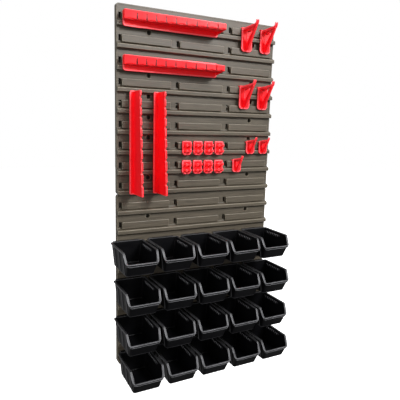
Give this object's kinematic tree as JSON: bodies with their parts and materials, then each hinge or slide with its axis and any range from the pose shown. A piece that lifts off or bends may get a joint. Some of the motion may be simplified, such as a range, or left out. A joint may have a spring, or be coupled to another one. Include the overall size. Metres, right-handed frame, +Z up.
{
  "type": "pegboard tool wall",
  "caption": "Wall panel of railed plastic plates with open storage bins, long racks, notched combs, fork clips and tool hooks that lift off.",
  "frame": {"origin": "middle of the upper plate's back, on the rib crossing that lies on the wall", "axes": "+Y into the wall, +Z up, +X to the right as seen from the front"},
  "size_m": [0.4235, 0.1244, 0.8031],
  "materials": {
    "plate_plastic": "satin, fine moulded grain",
    "bin_plastic": "semi-gloss",
    "holder_plastic": "semi-gloss"
  },
  "bodies": {
    "plates": {"upper_plate": "plate_plastic", "lower_plate": "plate_plastic"},
    "bin_1_1": {"bin_1_1": "bin_plastic"},
    "bin_1_2": {"bin_1_2": "bin_plastic"},
    "bin_1_3": {"bin_1_3": "bin_plastic"},
    "bin_1_4": {"bin_1_4": "bin_plastic"},
    "bin_1_5": {"bin_1_5": "bin_plastic"},
    "bin_2_1": {"bin_2_1": "bin_plastic"},
    "bin_2_2": {"bin_2_2": "bin_plastic"},
    "bin_2_3": {"bin_2_3": "bin_plastic"},
    "bin_2_4": {"bin_2_4": "bin_plastic"},
    "bin_2_5": {"bin_2_5": "bin_plastic"},
    "bin_3_1": {"bin_3_1": "bin_plastic"},
    "bin_3_2": {"bin_3_2": "bin_plastic"},
    "bin_3_3": {"bin_3_3": "bin_plastic"},
    "bin_3_4": {"bin_3_4": "bin_plastic"},
    "bin_3_5": {"bin_3_5": "bin_plastic"},
    "bin_4_1": {"bin_4_1": "bin_plastic"},
    "bin_4_2": {"bin_4_2": "bin_plastic"},
    "bin_4_3": {"bin_4_3": "bin_plastic"},
    "bin_4_4": {"bin_4_4": "bin_plastic"},
    "bin_4_5": {"bin_4_5": "bin_plastic"},
    "long_rack_1": {"long_rack_1": "holder_plastic"},
    "long_rack_2": {"long_rack_2": "holder_plastic"},
    "wrench_comb_1": {"wrench_comb_1": "holder_plastic"},
    "wrench_comb_2": {"wrench_comb_2": "holder_plastic"},
    "fork_clip_1_1": {"fork_clip_1_1": "holder_plastic"},
    "fork_clip_1_2": {"fork_clip_1_2": "holder_plastic"},
    "fork_clip_1_3": {"fork_clip_1_3": "holder_plastic"},
    "fork_clip_1_4": {"fork_clip_1_4": "holder_plastic"},
    "fork_clip_2_1": {"fork_clip_2_1": "holder_plastic"},
    "fork_clip_2_2": {"fork_clip_2_2": "holder_plastic"},
    "fork_clip_2_3": {"fork_clip_2_3": "holder_plastic"},
    "fork_clip_2_4": {"fork_clip_2_4": "holder_plastic"},
    "large_hook_1": {"large_hook_1": "holder_plastic"},
    "large_hook_2": {"large_hook_2": "holder_plastic"},
    "large_hook_3": {"large_hook_3": "holder_plastic"},
    "large_hook_4": {"large_hook_4": "holder_plastic"},
    "small_hook_1": {"small_hook_1": "holder_plastic"},
    "small_hook_2": {"small_hook_2": "holder_plastic"},
    "small_hook_3": {"small_hook_3": "holder_plastic"}
  },
  "joints": [
    {"name": "lift_bin_1_1", "type": "slide", "parent": "plates", "child": "bin_1_1", "axis": [0, 0, 1], "range_m": [0, 0.012]},
    {"name": "lift_bin_1_2", "type": "slide", "parent": "plates", "child": "bin_1_2", "axis": [0, 0, 1], "range_m": [0, 0.012]},
    {"name": "lift_bin_1_3", "type": "slide", "parent": "plates", "child": "bin_1_3", "axis": [0, 0, 1], "range_m": [0, 0.012]},
    {"name": "lift_bin_1_4", "type": "slide", "parent": "plates", "child": "bin_1_4", "axis": [0, 0, 1], "range_m": [0, 0.012]},
    {"name": "lift_bin_1_5", "type": "slide", "parent": "plates", "child": "bin_1_5", "axis": [0, 0, 1], "range_m": [0, 0.012]},
    {"name": "lift_bin_2_1", "type": "slide", "parent": "plates", "child": "bin_2_1", "axis": [0, 0, 1], "range_m": [0, 0.012]},
    {"name": "lift_bin_2_2", "type": "slide", "parent": "plates", "child": "bin_2_2", "axis": [0, 0, 1], "range_m": [0, 0.012]},
    {"name": "lift_bin_2_3", "type": "slide", "parent": "plates", "child": "bin_2_3", "axis": [0, 0, 1], "range_m": [0, 0.012]},
    {"name": "lift_bin_2_4", "type": "slide", "parent": "plates", "child": "bin_2_4", "axis": [0, 0, 1], "range_m": [0, 0.012]},
    {"name": "lift_bin_2_5", "type": "slide", "parent": "plates", "child": "bin_2_5", "axis": [0, 0, 1], "range_m": [0, 0.012]},
    {"name": "lift_bin_3_1", "type": "slide", "parent": "plates", "child": "bin_3_1", "axis": [0, 0, 1], "range_m": [0, 0.012]},
    {"name": "lift_bin_3_2", "type": "slide", "parent": "plates", "child": "bin_3_2", "axis": [0, 0, 1], "range_m": [0, 0.012]},
    {"name": "lift_bin_3_3", "type": "slide", "parent": "plates", "child": "bin_3_3", "axis": [0, 0, 1], "range_m": [0, 0.012]},
    {"name": "lift_bin_3_4", "type": "slide", "parent": "plates", "child": "bin_3_4", "axis": [0, 0, 1], "range_m": [0, 0.012]},
    {"name": "lift_bin_3_5", "type": "slide", "parent": "plates", "child": "bin_3_5", "axis": [0, 0, 1], "range_m": [0, 0.012]},
    {"name": "lift_bin_4_1", "type": "slide", "parent": "plates", "child": "bin_4_1", "axis": [0, 0, 1], "range_m": [0, 0.012]},
    {"name": "lift_bin_4_2", "type": "slide", "parent": "plates", "child": "bin_4_2", "axis": [0, 0, 1], "range_m": [0, 0.012]},
    {"name": "lift_bin_4_3", "type": "slide", "parent": "plates", "child": "bin_4_3", "axis": [0, 0, 1], "range_m": [0, 0.012]},
    {"name": "lift_bin_4_4", "type": "slide", "parent": "plates", "child": "bin_4_4", "axis": [0, 0, 1], "range_m": [0, 0.012]},
    {"name": "lift_bin_4_5", "type": "slide", "parent": "plates", "child": "bin_4_5", "axis": [0, 0, 1], "range_m": [0, 0.012]},
    {"name": "lift_long_rack_1", "type": "slide", "parent": "plates", "child": "long_rack_1", "axis": [0, 0, 1], "range_m": [0, 0.008]},
    {"name": "lift_long_rack_2", "type": "slide", "parent": "plates", "child": "long_rack_2", "axis": [0, 0, 1], "range_m": [0, 0.008]},
    {"name": "lift_wrench_comb_1", "type": "slide", "parent": "plates", "child": "wrench_comb_1", "axis": [0, 0, 1], "range_m": [0, 0.008]},
    {"name": "lift_wrench_comb_2", "type": "slide", "parent": "plates", "child": "wrench_comb_2", "axis": [0, 0, 1], "range_m": [0, 0.008]},
    {"name": "lift_fork_clip_1_1", "type": "slide", "parent": "plates", "child": "fork_clip_1_1", "axis": [0, 0, 1], "range_m": [0, 0.008]},
    {"name": "lift_fork_clip_1_2", "type": "slide", "parent": "plates", "child": "fork_clip_1_2", "axis": [0, 0, 1], "range_m": [0, 0.008]},
    {"name": "lift_fork_clip_1_3", "type": "slide", "parent": "plates", "child": "fork_clip_1_3", "axis": [0, 0, 1], "range_m": [0, 0.008]},
    {"name": "lift_fork_clip_1_4", "type": "slide", "parent": "plates", "child": "fork_clip_1_4", "axis": [0, 0, 1], "range_m": [0, 0.008]},
    {"name": "lift_fork_clip_2_1", "type": "slide", "parent": "plates", "child": "fork_clip_2_1", "axis": [0, 0, 1], "range_m": [0, 0.008]},
    {"name": "lift_fork_clip_2_2", "type": "slide", "parent": "plates", "child": "fork_clip_2_2", "axis": [0, 0, 1], "range_m": [0, 0.008]},
    {"name": "lift_fork_clip_2_3", "type": "slide", "parent": "plates", "child": "fork_clip_2_3", "axis": [0, 0, 1], "range_m": [0, 0.008]},
    {"name": "lift_fork_clip_2_4", "type": "slide", "parent": "plates", "child": "fork_clip_2_4", "axis": [0, 0, 1], "range_m": [0, 0.008]},
    {"name": "lift_large_hook_1", "type": "slide", "parent": "plates", "child": "large_hook_1", "axis": [0, 0, 1], "range_m": [0, 0.008]},
    {"name": "lift_large_hook_2", "type": "slide", "parent": "plates", "child": "large_hook_2", "axis": [0, 0, 1], "range_m": [0, 0.008]},
    {"name": "lift_large_hook_3", "type": "slide", "parent": "plates", "child": "large_hook_3", "axis": [0, 0, 1], "range_m": [0, 0.008]},
    {"name": "lift_large_hook_4", "type": "slide", "parent": "plates", "child": "large_hook_4", "axis": [0, 0, 1], "range_m": [0, 0.008]},
    {"name": "lift_small_hook_1", "type": "slide", "parent": "plates", "child": "small_hook_1", "axis": [0, 0, 1], "range_m": [0, 0.008]},
    {"name": "lift_small_hook_2", "type": "slide", "parent": "plates", "child": "small_hook_2", "axis": [0, 0, 1], "range_m": [0, 0.008]},
    {"name": "lift_small_hook_3", "type": "slide", "parent": "plates", "child": "small_hook_3", "axis": [0, 0, 1], "range_m": [0, 0.008]}
  ]
}
